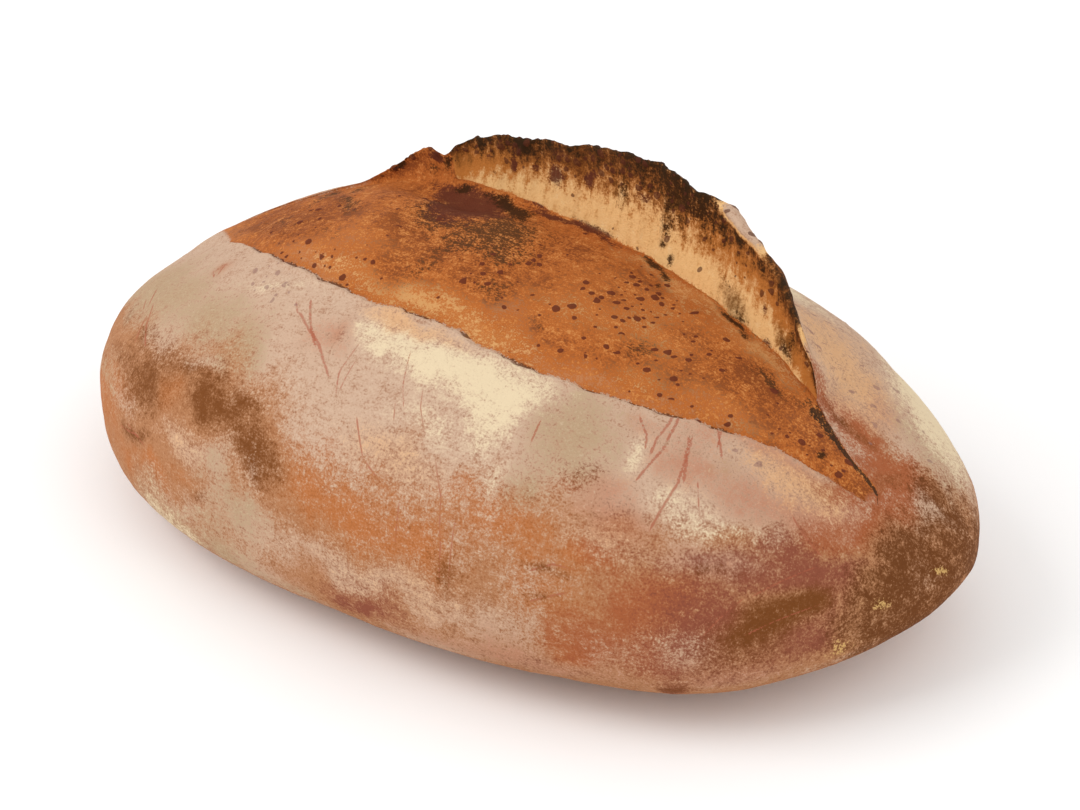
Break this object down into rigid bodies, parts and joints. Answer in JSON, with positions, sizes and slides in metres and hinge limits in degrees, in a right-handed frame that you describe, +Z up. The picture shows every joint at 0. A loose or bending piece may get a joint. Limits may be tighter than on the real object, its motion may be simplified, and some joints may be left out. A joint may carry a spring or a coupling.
{
  "type": "sourdough loaf",
  "caption": "Long oval hearth-baked sourdough bread with a flour-dusted crust, scored along the top, with a raised ear beside the burst bloom.",
  "frame": {"origin": "on the surface that the loaf rests on, under the centre of its bounding box", "axes": "+X runs along the loaf, from its blunt end to the end nearer the tall side of the ear; +Y points away from the front, towards the ear; +Z is up"},
  "size_m": [0.29, 0.171, 0.1196],
  "materials": {
    "crust": "matte baked crust, dusted with flour"
  },
  "bodies": {
    "root": {"loaf": "crust"}
  },
  "joints": []
}
